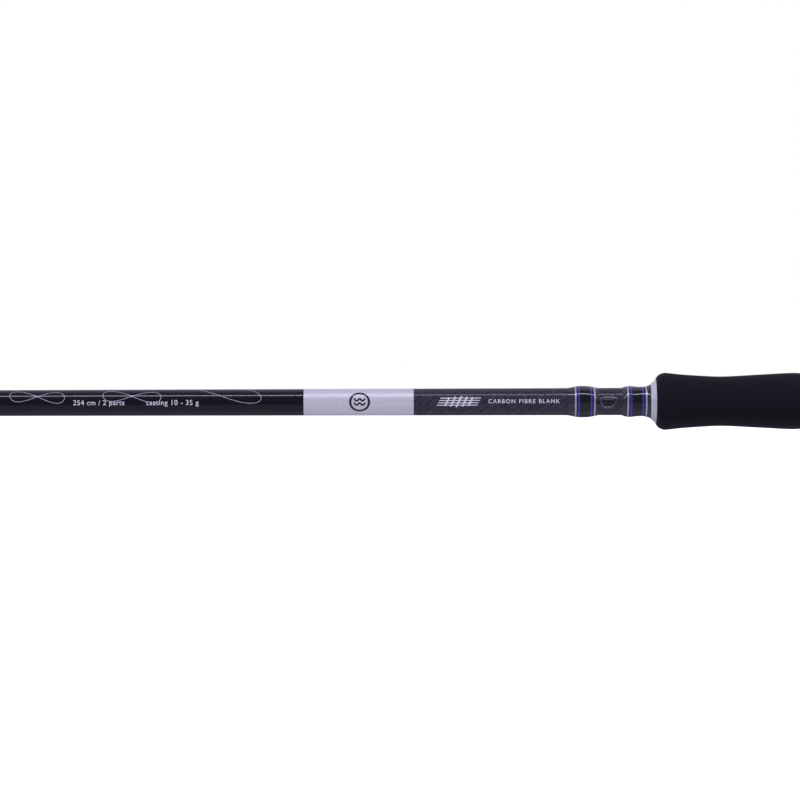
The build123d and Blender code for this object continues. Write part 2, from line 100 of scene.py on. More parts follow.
def gridMesh(name, points, closedRows, attributes=None, closedColumns=True):
    # quads over a grid of points, rows by columns, turned inside out if its signed volume is negative
    rows, columns = points.shape[:2]
    r = np.arange(rows if closedRows else rows - 1)[:, None]
    c = np.arange(columns if closedColumns else columns - 1)[None, :]
    r2, c2 = (r + 1) % rows, (c + 1) % columns
    corners = [r * columns + c, r * columns + c2, r2 * columns + c2, r2 * columns + c]
    quads = np.stack(corners, -1).reshape(-1, 4)
    flat = points.reshape(-1, 3) * mm
    if closedRows and closedColumns:
        a, b, e, f = (flat[quads[:, i]] for i in range(4))
        volume = np.einsum("ij,ij->i", a, np.cross(b, e)).sum()
        volume += np.einsum("ij,ij->i", a, np.cross(e, f)).sum()
        if volume < 0:
            quads = quads[:, ::-1]
    mesh = bpy.data.meshes.new(name)
    mesh.vertices.add(len(flat))
    mesh.vertices.foreach_set("co", flat.ravel())
    mesh.loops.add(quads.size)
    mesh.loops.foreach_set("vertex_index", quads.ravel())
    mesh.polygons.add(len(quads))
    mesh.polygons.foreach_set("loop_start", np.arange(len(quads)) * 4)
    mesh.update(calc_edges=True)
    mesh.validate()
    mesh.shade_smooth()
    for key, values in (attributes or {}).items():
        layer = mesh.attributes.new(key, "FLOAT", "POINT")
        layer.data.foreach_set("value", np.broadcast_to(values, (rows, columns)).ravel().astype(np.float32))
    piece = bpy.data.objects.new(name, mesh)
    bpy.context.scene.collection.objects.link(piece)
    return piece


def place(d, radius, angle):
    # a point at distance d, radius and angle round the rod
    d, radius, angle = np.broadcast_arrays(d, radius, angle)
    return np.stack([-d, -radius * np.cos(angle), radius * np.sin(angle)], -1)


def settle(piece, material, body, slot, *replaced):
    piece.data.materials.append(material)
    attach(piece, body)
    if replaced:
        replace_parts(piece, *replaced)
    return piece


def sharpEdges(piece, degrees=35):
    # corners sharper than this stay crisp under the smooth shading
    grid = bmesh.new()
    grid.from_mesh(piece.data)
    for edge in grid.edges:
        if len(edge.link_faces) == 2 and edge.calc_face_angle(0) > math.radians(degrees):
            edge.smooth = False
    grid.to_mesh(piece.data)
    grid.free()


def turned(name, profile, attributes=None):
    # a closed outline of (d, radius) points carried round the rod's axis
    profile = np.asarray(profile, float)
    angle = np.linspace(0, 2 * math.pi, around, endpoint=False)[None, :]
    wide = {key: values[:, None] for key, values in (attributes or {}).items()}
    piece = gridMesh(name, place(profile[:, :1], profile[:, 1:], angle), True, wide)
    sharpEdges(piece)
    return piece


def sleeve(outside, gap=0.02):
    # an outline that follows "outside" and comes back along the blank's surface
    d = np.linspace(outside[-1, 0], outside[0, 0], 8)
    return np.vstack([outside, np.stack([d, blankRadius(d) + gap], -1)])


def hexColour(text):
    # sRGB hex to linear colour
    values = [int(text[i:i + 2], 16) / 255 for i in (0, 2, 4)]
    return [v / 12.92 if v <= 0.04045 else ((v + 0.055) / 1.055) ** 2.4 for v in values] + [1.0]


def addNode(tree, kind, inputs=None, **settings):
    # a node with its settings, and each input either a number or a link from another node's socket
    made = tree.nodes.new(kind)
    for key, value in settings.items():
        setattr(made, key, value)
    for key, value in (inputs or {}).items():
        if isinstance(value, bpy.types.NodeSocket):
            tree.links.new(value, made.inputs[key])
        else:
            made.inputs[key].default_value = value
    return made


def newMaterial(name, inputs):
    material = bpy.data.materials.new(name)
    material.use_nodes = True
    tree = material.node_tree
    tree.nodes.clear()
    shader = addNode(tree, "ShaderNodeBsdfPrincipled", inputs)
    output = addNode(tree, "ShaderNodeOutputMaterial")
    tree.links.new(shader.outputs[0], output.inputs[0])
    return material, tree, shader


def calc(tree, operation, a, b=0.0, c=0.0):
    return addNode(tree, "ShaderNodeMath", {0: a, 1: b, 2: c}, operation=operation).outputs[0]


def between(tree, value, low, high):
    # 1 where low < value < high, else 0
    above = calc(tree, "GREATER_THAN", value, low)
    return calc(tree, "MULTIPLY", above, calc(tree, "LESS_THAN", value, high))


def mixColour(tree, factor, a, b):
    made = addNode(tree, "ShaderNodeMix", {0: factor, 6: a, 7: b}, data_type="RGBA")
    return made.outputs[2]


def tones(tree, factor, pair):
    # from the first hex colour of a pair to the second
    return mixColour(tree, factor, hexColour(pair[0]), hexColour(pair[1]))


def objectPlace(tree):
    return addNode(tree, "ShaderNodeTexCoord").outputs["Object"]


def alongRod(tree, spot):
    # d in millimetres
    parts = addNode(tree, "ShaderNodeSeparateXYZ", {0: spot})
    return calc(tree, "MULTIPLY", parts.outputs[0], -1 / mm)


def roundRod(tree, spot, radius):
    # arc length in millimetres round a rod of this radius
    parts = addNode(tree, "ShaderNodeSeparateXYZ", {0: spot})
    turn = calc(tree, "ARCTAN2", parts.outputs[2], calc(tree, "MULTIPLY", parts.outputs[1], -1.0))
    return calc(tree, "MULTIPLY", turn, radius)


def noise(tree, vector, perMetre, detail=3.0, roughness=0.6):
    # perMetre is how many blobs fit in a metre: 1000 makes them about a millimetre across
    inputs = {"Vector": vector, "Scale": perMetre, "Detail": detail, "Roughness": roughness}
    return addNode(tree, "ShaderNodeTexNoise", inputs).outputs[0]


def bump(tree, height, strength, depth):
    # depth in millimetres
    inputs = {"Height": height, "Strength": strength, "Distance": depth * mm}
    return addNode(tree, "ShaderNodeBump", inputs).outputs[0]


def spread(tree, value, low, high):
    # stretches 0..1 to low..high
    return calc(tree, "MULTIPLY_ADD", value, high - low, low)


# Carbon fibre tube, wrapped and lacquered: woven cloth shows through the varnish near the handle, a silver
# flake band comes next, and the rest is glossy black. The cloth is a two-over-two twill drawn as painted light
# and shade: each tow is a half sine across, painted bright over its middle and shaded at its edges, and the
# tows along the rod are painted darker, as shade, because they catch less light than those round it. Every tow
# is uneven.
carbon = {"tow": 0.9, "radius": 6.25, "alongShade": 0.6, "uneven": (-0.5, 2.2), "wovenCoat": 0.6,
          "cloth": ("1f1e26", "504e5a"), "black": ("060611", "0a0a1b"), "flake": ("dcdbdd", "f6f5f8"),
          "flakeMetal": 0.3, "wovenRoughness": 0.46, "blackRoughness": 0.4}


def twill(tree, spot, d):
    # painted light and shade of the cloth: d and the arc are counted in tows, the sum of their whole parts
    # steps through four weave places, and the later two of the four show the tow that runs along the rod,
    # painted darker as shade
    along = calc(tree, "DIVIDE", d, carbon["tow"])
    arc = calc(tree, "DIVIDE", roundRod(tree, spot, carbon["radius"]), carbon["tow"])
    step = calc(tree, "ADD", calc(tree, "FLOOR", along), calc(tree, "FLOOR", arc))
    over = calc(tree, "GREATER_THAN", calc(tree, "FRACT", calc(tree, "MULTIPLY", step, 0.25)), 0.49)
    across = calc(tree, "FRACT", addNode(tree, "ShaderNodeMix", {0: over, 2: along, 3: arc}).outputs[0])
    # painted shade: each tow is brightest over its middle and darkens towards its edges
    tow = calc(tree, "SINE", calc(tree, "MULTIPLY", across, math.pi))
    # painted shade: the tows along the rod are darker, as if they caught less light
    shaded = calc(tree, "MULTIPLY", tow, spread(tree, over, 1.0, carbon["alongShade"]))
    return calc(tree, "MULTIPLY", shaded, spread(tree, noise(tree, spot, 420.0, 3.0, 0.75), *carbon["uneven"]))


def carbonTube(name, weave):
    material, tree, shader = newMaterial(name, {"IOR": 1.5, "Coat Weight": 1.0, "Coat Roughness": 0.14,
                                                "Coat IOR": 1.5, "Specular IOR Level": 0.08})
    spot = objectPlace(tree)
    fine = noise(tree, spot, 900.0)
    black = tones(tree, fine, carbon["black"])
    if weave:
        d = alongRod(tree, spot)
        cloth = twill(tree, spot, d)
        silver = between(tree, d, blank["silverRear"], blank["silverFront"])
        front = calc(tree, "GREATER_THAN", d, blank["silverFront"])
        woven = calc(tree, "LESS_THAN", d, blank["silverRear"])
        # the cloth's two tones carry the twill's painted light and shade
        colour = mixColour(tree, front, tones(tree, cloth, carbon["cloth"]), black)
        colour = mixColour(tree, silver, colour, tones(tree, fine, carbon["flake"]))
        varnish = calc(tree, "MULTIPLY_ADD", woven, carbon["wovenCoat"] - 1, spread(tree, silver, 1.0, 0.0))
        height = calc(tree, "MULTIPLY", cloth, woven)
        wavy = calc(tree, "MULTIPLY_ADD", height, 0.9, noise(tree, spot, 130.0))
        tree.links.new(colour, shader.inputs["Base Color"])
        tree.links.new(calc(tree, "MULTIPLY", silver, carbon["flakeMetal"]), shader.inputs["Metallic"])
        tree.links.new(varnish, shader.inputs["Coat Weight"])
        tree.links.new(bump(tree, height, 0.5, 0.08), shader.inputs["Normal"])
        tree.links.new(bump(tree, wavy, 0.3, 0.06), shader.inputs["Coat Normal"])
        shader.inputs["Roughness"].default_value = carbon["wovenRoughness"]
    else:
        tree.links.new(black, shader.inputs["Base Color"])
        tree.links.new(bump(tree, noise(tree, spot, 110.0), 0.12, 0.06), shader.inputs["Coat Normal"])
        shader.inputs["Roughness"].default_value = carbon["blackRoughness"]
    return material


# Nylon whipping thread under brushed-on epoxy: round threads side by side in the base, a glossy skin with
# lumps a few millimetres across, and a silver tinsel band at each edge with a blue one just inside it. The
# bands lie where fromTrim, the distance in from the silver band's middle, is within the given limits.
whipping = {"pitch": 0.25, "silver": (-0.35, 0.35), "blue": (1.12, 1.84), "silverMetal": 0.4, "roughness": 0.4,
            "threadTones": ("040406", "121118"), "bareTones": ("1d1c24", "47454f"),
            "silverTones": ("9f9ea8", "f4f3fa"), "blueTones": ("25268c", "5658d4")}


def whippingThread():
    material, tree, shader = newMaterial("whippingThread", {"IOR": 1.5, "Coat Weight": 1.0, "Coat IOR": 1.6,
                                                            "Coat Roughness": 0.02, "Specular IOR Level": 0.08})
    spot = objectPlace(tree)
    trim = addNode(tree, "ShaderNodeAttribute", attribute_name="fromTrim").outputs["Fac"]
    silver = between(tree, trim, *whipping["silver"])
    blue = between(tree, trim, *whipping["blue"])
    varnish = calc(tree, "LESS_THAN", trim, whipping["silver"][0])
    fibre = noise(tree, spot, 1500.0, 4.0, 0.7)
    colour = tones(tree, fibre, whipping["threadTones"])
    colour = mixColour(tree, varnish, colour, tones(tree, fibre, whipping["bareTones"]))
    colour = mixColour(tree, silver, colour, tones(tree, fibre, whipping["silverTones"]))
    colour = mixColour(tree, blue, colour, tones(tree, fibre, whipping["blueTones"]))
    tree.links.new(colour, shader.inputs["Base Color"])
    tree.links.new(calc(tree, "MULTIPLY", silver, whipping["silverMetal"]), shader.inputs["Metallic"])
    shader.inputs["Roughness"].default_value = whipping["roughness"]
    turns = calc(tree, "MULTIPLY", alongRod(tree, spot), 2 * math.pi / whipping["pitch"])
    ridge = calc(tree, "MULTIPLY", calc(tree, "SINE", turns), calc(tree, "SUBTRACT", 1.0, varnish))
    tree.links.new(bump(tree, ridge, 0.45, 0.05), shader.inputs["Normal"])
    tree.links.new(bump(tree, noise(tree, spot, 230.0, 0.0), 0.7, 0.25), shader.inputs["Coat Normal"])
    return material


# Closed-cell EVA foam, ground to shape: dull black with cut cells about 0.4 mm across.
def evaFoam(dark, light):
    material, tree, shader = newMaterial("evaFoam", {"IOR": 1.45, "Roughness": 0.86, "Specular IOR Level": 0.18,
                                                     "Sheen Weight": 0.06, "Sheen Roughness": 0.5})
    spot = objectPlace(tree)
    cells = addNode(tree, "ShaderNodeTexVoronoi", {"Vector": spot, "Scale": 2600.0}, feature="F1").outputs[0]
    grind = noise(tree, spot, 1900.0, 4.0, 0.7)
    cloud = noise(tree, spot, 90.0, 2.0)
    shade = calc(tree, "MULTIPLY", spread(tree, grind, 0.3, 1.1), spread(tree, cloud, 0.7, 1.2))
    tree.links.new(tones(tree, shade, (dark, light)), shader.inputs["Base Color"])
    pores = calc(tree, "MULTIPLY_ADD", grind, 0.6, cells)
    tree.links.new(bump(tree, pores, 0.5, 0.12), shader.inputs["Normal"])
    return material


# Aluminium, turned and anodised in a natural silver: fine lathe lines 0.2 mm apart across the rod.
def turnedAluminium(dark, light):
    material, tree, shader = newMaterial("turnedAluminium", {"Metallic": 0.3, "Coat Weight": 0.25,
                                                             "Coat Roughness": 0.2})
    spot = objectPlace(tree)
    stretched = {"Vector": spot, "Scale": (5000.0, 160.0, 160.0)}
    lathe = addNode(tree, "ShaderNodeMapping", stretched).outputs[0]
    smudge = noise(tree, spot, 260.0)
    tree.links.new(tones(tree, smudge, (dark, light)), shader.inputs["Base Color"])
    tree.links.new(spread(tree, smudge, 0.26, 0.46), shader.inputs["Roughness"])
    tree.links.new(bump(tree, noise(tree, lathe, 1.0, 4.0), 0.25, 0.04), shader.inputs["Normal"])
    return material


# Nylon, rubber or urethane, moulded: satin with a faint spark-eroded grain of about 0.7 mm.
def mouldedNylon(name, dark, light, roughness):
    material, tree, shader = newMaterial(name, {"IOR": 1.53, "Specular IOR Level": 0.45})
    spot = objectPlace(tree)
    grain = noise(tree, spot, 1400.0, 4.0, 0.65)
    tree.links.new(tones(tree, noise(tree, spot, 140.0), (dark, light)), shader.inputs["Base Color"])
    tree.links.new(spread(tree, grain, roughness - 0.07, roughness + 0.1), shader.inputs["Roughness"])
    tree.links.new(bump(tree, grain, 0.3, 0.05), shader.inputs["Normal"])
    return material


# Steel wire and sheet, pressed and polished, some of it black-chromed: a mirror with faint drawing marks.
def polishedMetal(name, dark, light, roughness):
    material, tree, shader = newMaterial(name, {"Metallic": 1.0})
    spot = objectPlace(tree)
    scratches = noise(tree, spot, 800.0, 4.0, 0.7)
    tree.links.new(tones(tree, noise(tree, spot, 210.0), (dark, light)), shader.inputs["Base Color"])
    tree.links.new(spread(tree, scratches, roughness - 0.05, roughness + 0.12), shader.inputs["Roughness"])
    tree.links.new(bump(tree, scratches, 0.12, 0.03), shader.inputs["Normal"])
    return material


# Alumina ceramic, polished: deep grey-black, glassy, with slight cloudiness.
def polishedCeramic(dark, light):
    material, tree, shader = newMaterial("polishedCeramic", {"IOR": 1.77, "Coat Weight": 0.6,
                                                             "Coat Roughness": 0.03})
    cloud = noise(tree, objectPlace(tree), 500.0)
    tree.links.new(tones(tree, cloud, (dark, light)), shader.inputs["Base Color"])
    tree.links.new(spread(tree, cloud, 0.1, 0.2), shader.inputs["Roughness"])
    return material


# Screen-printed ink under the varnish: flat colour with slightly uneven cover.
def printedInk(name, dark, light):
    material, tree, shader = newMaterial(name, {"Roughness": 0.4, "Coat Weight": 1.0, "Coat Roughness": 0.05})
    cover = noise(tree, objectPlace(tree), 1600.0)
    tree.links.new(tones(tree, cover, (dark, light)), shader.inputs["Base Color"])
    return material


carbonWeave = carbonTube("lacqueredCarbonTube", True)
carbonBlack = carbonTube("blackLacqueredTube", False)
thread = whippingThread()
foam = evaFoam("0c0c10", "1b1a21")
aluminium = turnedAluminium("dcdbe4", "fbfaff")
rubber = mouldedNylon("mouldedRubber", "17161b", "26252c", 0.72)
nylon = mouldedNylon("glassFilledNylon", "1d1c23", "2f2e37", 0.34)
hoodNylon = mouldedNylon("polishedHoodNylon", "22212a", "383743", 0.22)
urethane = mouldedNylon("foamedUrethane", "b9b39c", "d2ccb6", 0.8)
steel = polishedMetal("stainlessSteel", "a9a8b4", "c9c8d2", 0.18)
blackChrome = polishedMetal("blackChrome", "4a4955", "6e6d7a", 0.16)
darkSteel = polishedMetal("blackNickelWire", "6c6b77", "9a99a6", 0.12)
ceramic = polishedCeramic("1d1d24", "34343e")
silverInk = printedInk("silverInk", "efeef4", "fdfdff")
greyInk = printedInk("greyInk", "b2b1bf", "c9c8d5")
blackInk = printedInk("blackInk", "060608", "0e0e12")
print("materials made:", len(bpy.data.materials))


def buttBlank():
    d = np.linspace(blank["buttStart"], blank["buttEnd"], 120)
    outside = np.stack([d, blankRadius(d)], -1)
    inside = np.stack([d[::-1], blankRadius(d[::-1]) - blank["wall"]], -1)
    piece = turned("buttBlank", np.vstack([outside, inside]))
    return settle(piece, carbonWeave, "butt_section", "carbon_blank", "butt_blank")


# the tip blank's bore: over the spigot as far as spigotEnd with a little play, then narrowing to the tip
tipBore = {"spigotEnd": 1320.0, "play": 0.03, "narrow": 2480.0, "narrowRadius": 0.4, "tipRadius": 0.25}


def tipBlank():
    # the mouth swells over the spigot, then the tube runs down to the tip
    ferruleRun = np.linspace(blank["mouth"], blank["shoulder"], 16)
    run = np.linspace(blank["shoulder"] + 1, blank["tipEnd"], 140)
    outside = np.vstack([np.stack([ferruleRun, mouthRadius(ferruleRun)], -1),
                         np.stack([run, blankRadius(run)], -1)])
    fit = np.array([tipBore["spigotEnd"], blank["mouth"]])
    fitRadius = blank["buttRadius"] - blank["taper"] * fit + tipBore["play"]
    inside = np.array([[blank["tipEnd"], tipBore["tipRadius"]], [tipBore["narrow"], tipBore["narrowRadius"]],
                       [fit[0], fitRadius[0]], [fit[1], fitRadius[1]]])
    piece = turned("tipBlank", np.vstack([outside, inside]))
    return settle(piece, carbonBlack, "tip_section", "carbon_blank", "tip_blank")


buttBlank()
tipBlank()
print("blanks made")

# outlines as (d, radius), from the end nearer the tip to the other
grips = {
    "fore_grip": [(500, 10.6), (499.3, 11.62), (498.15, 12.54), (496.8, 13.0), (495.2, 13.17), (488.9, 12.5),
                  (479, 11.8), (468.6, 11.45), (452, 12.28), (437.5, 13.0), (431, 12.55), (428, 11.8)],
    "rear_grip": [(300, 12.55), (284, 11.9), (268, 11.6), (263.2, 10.8), (262, 9.7)],
    "butt_grip": [(108, 9.8), (106.6, 11.2), (103, 12.0), (82, 12.2), (50, 14.4), (24, 15.6), (15.5, 14.6)],
}
# place of the wide end and of the narrow end, then their radii
checks = {
    "fore_grip_check": (500.0, 502.45, 10.3, 7.94),
    "rear_grip_check": (262.0, 259.55, 9.5, 7.9),
    "butt_grip_check": (108.0, 110.45, 9.7, 7.9),
}
checkShape = {"power": 1.05, "lip": 0.12, "gap": 0.4}  # curve of the flare, rim's bevel, gap to the blank


def camel(node):
    words = node.split("_")
    return words[0] + "".join(word.capitalize() for word in words[1:])


def windingCheck(node, wide, narrow, wideRadius, narrowRadius):
    # a flared ring: its radius falls from the wide end to the narrow one like a power of the way left
    t = np.linspace(0, 1, 24)
    radius = narrowRadius + (wideRadius - narrowRadius) * (1 - t) ** checkShape["power"]
    flare = np.stack([wide + (narrow - wide) * t, radius], -1)
    lip = np.array([[wide, blankRadius(wide) + checkShape["gap"]], [wide, wideRadius - checkShape["lip"]]])
    piece = turned(camel(node), sleeve(np.vstack([lip, flare])))
    return settle(piece, aluminium, "butt_section", "silver_trim", node)


for node, outline in grips.items():
    piece = turned(camel(node), sleeve(rounded(outline, 16)))
    settle(piece, foam, "butt_section", "eva_foam", node)
for node, shape in checks.items():
    windingCheck(node, *shape)
print("grips and checks made")

# places along the rod, radii, and the heights that the bed and the keyway are cut to; the groove starts and
# ends at these parts of a pitch and its flanks take up "flank" of it
seat = {"start": 300.0, "end": 428.0, "barrel": 11.0, "bore": 7.6, "flange": 12.4, "flangeEnd": 302.5,
        "threadStart": 304.0, "threadEnd": 344.0, "pitch": 2.0, "root": 10.25, "groove": (0.2, 0.95),
        "flank": 0.22, "threadRunOut": 1.2, "bedStart": 336.0, "bedEnd": 421.0, "bed": 9.0, "relief": 0.2,
        "openBed": (351.0, 403.0), "keyway": (304.0, 366.0), "keyHalf": 1.5, "keyFloor": 9.8, "step": 0.02}


def seatBarrel():
    # radius over (d, angle): a plain barrel, a screw thread whose groove advances one pitch each turn, a
    # flat bed cut at a fixed height on the +Y side and a keyway cut on the other side
    edges = [seat["flangeEnd"], seat["threadStart"], seat["threadEnd"], seat["bedStart"], *seat["openBed"],
             seat["bedEnd"], seat["keyway"][1]]
    steps = [seat["start"], seat["end"]] + [at + side for at in edges for side in (-seat["step"], seat["step"])]
    d = np.unique(np.concatenate([steps, np.arange(seat["threadStart"], seat["threadEnd"], 0.2),
                                  np.linspace(seat["threadEnd"], seat["end"], 24)]))[:, None]
    angle = np.linspace(0, 2 * math.pi, 240, endpoint=False)[None, :]
    phase = np.mod((d - seat["threadStart"]) / seat["pitch"] - angle / (2 * math.pi), 1.0)
    low, high = seat["groove"]
    groove = np.clip(np.minimum(phase - low, high - phase) / seat["flank"], 0, 1)
    fromEnd = np.minimum(d - seat["threadStart"], seat["threadEnd"] - d)
    depth = (seat["barrel"] - seat["root"]) * groove * np.clip(fromEnd / seat["threadRunOut"], 0, 1)
    radius = np.where(d < seat["flangeEnd"], seat["flange"], seat["barrel"] - depth)
    towardsFoot = np.maximum(-np.cos(angle), 1e-6)
    openBed = (d > seat["openBed"][0]) & (d < seat["openBed"][1])
    bed = np.where(openBed, seat["bed"], seat["bed"] - seat["relief"])
    inBed = (d > seat["bedStart"]) & (d < seat["bedEnd"])
    radius = np.minimum(radius, np.where(inBed, bed / towardsFoot, np.inf))
    inKeyway = (np.abs(np.sin(angle) * radius) < seat["keyHalf"]) & (np.cos(angle) > 0)
    inKeyway = inKeyway & (d > seat["keyway"][0]) & (d < seat["keyway"][1])
    keyFloor = seat["keyFloor"] / np.maximum(np.cos(angle), 0.5)
    radius = np.where(inKeyway, np.minimum(radius, keyFloor), radius)
    bore = np.full((2, angle.size), seat["bore"])
    stations = np.vstack([d, [[seat["end"]], [seat["start"]]]])
    piece = gridMesh("seatBarrel", place(stations, np.vstack([radius, bore]), angle), True)
    sharpEdges(piece, 24)
    return settle(piece, nylon, "butt_section", "seat_plastic", "seat_body")


seatBarrel()
print("reel seat made")

# outline, where the middles of the two silver bands are, and the end beside the keeper
keeperWraps = {
    "keeper_wrap_rear": ([(502.45, 7.94), (503.4, 7.4), (504.6, 7.02), (506.6, 6.76), (509.5, 6.92),
                          (511.6, 7.15), (513.3, 7.08), (514.6, 6.75), (515.8, 6.33)], 504.55, 513.05, 515.8),
    "keeper_wrap_front": ([(526.7, 6.32), (528.0, 6.6), (529.2, 6.85), (531.6, 7.2), (535.4, 7.24),
                           (537.2, 7.0), (538.8, 6.65), (540.8, 6.3)], 528.4, 537.15, 526.7),
}
# the lift over the keeper's foot: its height, the length it rises in and the length it sinks in, and the
# angle of its middle and its half width round the rod; it fades out where the wrap is thinner than "skin"
footLift = {"height": 1.15, "runOut": 2.6, "reach": 11.0, "centre": 0.22, "halfAngle": 1.2, "skin": 0.2}


def keeperWrap(node, outline, low, high, footEnd):
    # the outline carried round the rod, plus the lift: a quarter sine up from the end beside the keeper, a
    # slow half cosine down to the far end, and a half cosine to each side of the foot
    profile = sleeve(rounded(outline, 16), 0.005)
    d, radius = profile[:, :1], profile[:, 1:]
    angle = np.linspace(-math.pi, math.pi, around, endpoint=False)[None, :]
    fromEnd = np.abs(d - footEnd)
    rise = np.sin(np.clip(fromEnd / footLift["runOut"], 0, 1) * math.pi / 2)
    sunk = np.clip((fromEnd - footLift["runOut"]) / footLift["reach"], 0, 1)
    aside = np.clip(np.abs(angle - footLift["centre"]) / footLift["halfAngle"], 0, 1)
    share = (0.5 + 0.5 * np.cos(sunk * math.pi)) * (0.5 + 0.5 * np.cos(aside * math.pi))
    thick = np.clip((radius - blankRadius(d) - 0.02) / footLift["skin"], 0, 1)
    lifted = radius + footLift["height"] * rise * share * thick
    trim = np.minimum(d - low, high - d)
    piece = gridMesh(camel(node), place(d, lifted, angle), True, {"fromTrim": trim})
    sharpEdges(piece)
    return settle(piece, thread, "butt_section", "thread_wrap", node)


for node, shape in keeperWraps.items():
    keeperWrap(node, *shape)

# ends of the wrap, its thickness, the silver band's place in from each end, and the length of its round ends
ferrule = {"wrap": (1238.0, 1264.0), "height": 0.42, "trim": 1.6, "skin": 0.02, "runOut": 2.2, "blunt": 0.6}


def ferruleWrap():
    # thickness over the mouth is a quarter circle at each end, blunter beside the ring, and level between
    low, high = ferrule["wrap"]
    d = np.linspace(low, high, 90)
    tube = mouthRadius(d)
    fromEnd = np.minimum(d - low + ferrule["blunt"], high - d)
    rise = np.sqrt(1 - (1 - np.clip(fromEnd / ferrule["runOut"], 0, 1)) ** 2)
    outside = np.stack([d, tube + ferrule["skin"] + (ferrule["height"] - ferrule["skin"]) * rise], -1)
    inside = np.stack([d, tube + 0.005], -1)[::-1]
    profile = np.vstack([outside, inside])
    fromTrim = np.minimum(profile[:, 0] - low, high - profile[:, 0]) - ferrule["trim"]
    piece = turned("ferruleWrap", profile, {"fromTrim": fromTrim})
    return settle(piece, thread, "tip_section", "thread_wrap", "ferrule_wrap")


ferruleWrap()

# ring size of each guide
guideSizes = {"guide_1": 30, "guide_2": 20, "guide_3": 12, "guide_4": 8, "guide_5": 6, "guide_6": 6,
              "guide_7": 6, "guide_8": 6}
# wrap over one foot: silver band's place, thickness on the bare blank, length and bluntness of the round
# ends, cover over the foot, angle in which the lift falls off, and a length that grows with the ring; the
# feet's seat is measured seatBehind millimetres behind the ring, where the blank is a little thicker
guideWraps = {"trim": 1.6, "skin": 0.34, "runOut": 1.6, "blunt": 0.35, "cover": 0.24, "fall": 0.6,
              "length": 10.0, "lengthPerSize": 0.3, "seatBehind": 30.0}
# a guide's foot: its wire's radius grows with the ring, its half width is so many of those radii, and it
# thins to a tip at the first of the two distances from the wrap's far end and is gone at the second
guideFoot = {"wire": 0.35, "sizePerWire": 45.0, "width": 1.8, "tip": 0.3, "thins": (2.0, 1.4)}


def guideWrap(name, near, far, size, body, footSeat):
    # near is the end beside the ring. The radius is a thin skin over the blank with rounded ends, plus a lift
    # over the guide's foot that is full across the foot and falls off round the rod like a half cosine
    length = abs(far - near)
    s = np.linspace(0, 1, 80)[:, None]
    d = near + (far - near) * s
    angle = np.linspace(0, 2 * math.pi, 96, endpoint=False)[None, :]
    run = s * length
    rise = np.clip(np.minimum(run + guideWraps["blunt"], length - run) / guideWraps["runOut"], 0, 1)
    rise = np.sqrt(1 - (1 - rise) ** 2)
    bare = blankRadius(d) + 0.006
    wire = guideFoot["wire"] + size / guideFoot["sizePerWire"]
    thin, gone = guideFoot["thins"]
    footTop = np.interp(run, [0, length - thin, length - gone, length],
                        [footSeat + 2 * wire, footSeat + guideFoot["tip"], 0, 0])
    lift = np.maximum(footTop + guideWraps["cover"] - bare - guideWraps["skin"], 0)
    lift = np.convolve(np.pad(lift[:, 0], 3, mode="edge"), np.ones(7) / 7, "valid")[:, None]  # eased
    halfFoot = math.atan2(guideFoot["width"] * wire, footSeat + wire)
    fall = np.clip((np.abs(angle - math.pi) - halfFoot) / guideWraps["fall"], 0, 1)
    over = bare + (guideWraps["skin"] + lift * 0.5 * (1 + np.cos(math.pi * fall))) * rise
    outside = place(d, over, angle)
    inside = place(d[::-1], (bare - 0.004)[::-1], angle)
    trim = np.minimum(run - guideWraps["trim"], length - guideWraps["trim"] - run)
    piece = gridMesh(name, np.vstack([outside, inside]), True, {"fromTrim": np.vstack([trim, trim[::-1]])})
    sharpEdges(piece)
    return settle(piece, thread, body, "thread_wrap")


def joined(name, pieces):
    # makes one mesh of several finished pieces
    grid = bmesh.new()
    for piece in pieces:
        grid.from_mesh(piece.data)
    grid.to_mesh(pieces[0].data)
    grid.free()
    for piece in pieces[1:]:
        bpy.data.objects.remove(piece)
    pieces[0].name = name
    pieces[0].data.name = name
    return pieces[0]


for guide, size in guideSizes.items():
    body = "butt_section" if guide == "guide_1" else "tip_section"
    low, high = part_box(guide + "_wrap")
    ringLow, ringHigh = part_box(guide + "_ring")
    front, rear = -low[0] / mm, -high[0] / mm
    length = guideWraps["length"] + guideWraps["lengthPerSize"] * size
    ringPlace = -(ringLow[0] + ringHigh[0]) / 2 / mm
    footSeat = float(blankRadius(ringPlace - guideWraps["seatBehind"])) + 0.02
    made = [guideWrap(guide + "Front", front - length, front, size, body, footSeat)]
    if front - rear > 1.5 * length:  # a guide with two feet has a wrap on each
        made.append(guideWrap(guide + "Rear", rear + length, rear, size, body, footSeat))
    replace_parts(joined(camel(guide + "_wrap"), made), guide + "_wrap")

# silver band's place in from the winding's rear end, length of its round end, and thickness
tipWinding = {"trim": 1.4, "runOut": 1.5, "height": 0.36, "skin": 0.02}


def tipWrap():
    # thickness is a quarter circle at the rear end and level up to the tip guide's tube
    low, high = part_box("tip_top_wrap")
    start, end = -high[0] / mm, -low[0] / mm
    d = np.linspace(start, end, 40)
    rise = np.sqrt(1 - (1 - np.clip((d - start) / tipWinding["runOut"], 0, 1)) ** 2)
    radius = blankRadius(d) + tipWinding["skin"] + tipWinding["height"] * rise
    profile = sleeve(np.stack([d, radius], -1), 0.006)
    piece = turned("tipTopWrap", profile, {"fromTrim": profile[:, 0] - start - tipWinding["trim"]})
    return settle(piece, thread, "tip_section", "thread_wrap", "tip_top_wrap")


tipWrap()
print("wraps made")

# height over the blank, width of the strips that letters are bent in, and added weight of their strokes
ink = {"lift": 0.012, "strip": 0.2, "bold": 0.02}


def onBlank(u, v, centre, height):
    # wraps flat artwork round the blank: u runs towards the butt from the mark's centre, v runs up round it
    d = centre - u
    radius = blankRadius(d) + ink["lift"]
    return place(d, radius, (v + height) / blankRadius(d))


